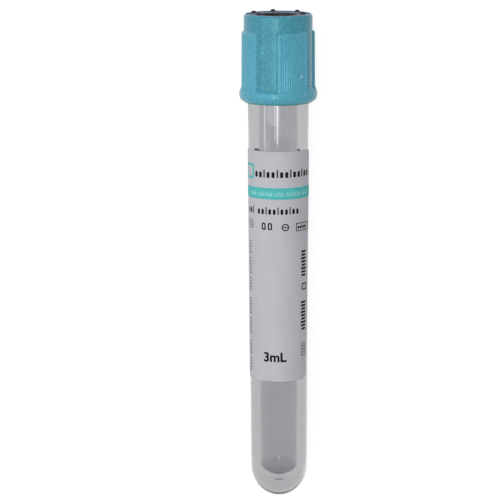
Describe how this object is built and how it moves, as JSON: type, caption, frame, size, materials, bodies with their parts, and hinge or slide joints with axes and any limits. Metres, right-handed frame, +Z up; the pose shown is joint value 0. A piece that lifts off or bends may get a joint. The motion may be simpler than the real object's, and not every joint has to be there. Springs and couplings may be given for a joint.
{
  "type": "blood collection tube",
  "caption": "Round-bottom evacuated blood collection tube with a wrap label, rubber stopper and ribbed push-on safety cap.",
  "frame": {"origin": "middle of the bounding box, on the table under the lying tube", "axes": "+Z up from the table, +Y along the tube towards the cap, +X to the right of the label's front"},
  "size_m": [0.017, 0.1082, 0.017],
  "materials": {
    "clear_plastic": "clear, polished, faintly grey",
    "label_film": "satin pale lavender film with a teal band and dark print",
    "stopper_rubber": "dull dark rubber, dusted pale on the top face",
    "cap_plastic": "satin teal moulded plastic"
  },
  "bodies": {
    "tube": {"tube": "clear_plastic", "label": "label_film"},
    "closure": {"cap": "cap_plastic", "stopper": "stopper_rubber"}
  },
  "joints": [
    {"name": "closure_pull", "type": "slide", "parent": "tube", "child": "closure", "axis": [0, 0.9996, 0.0275], "range_m": [0, 0.03]}
  ]
}
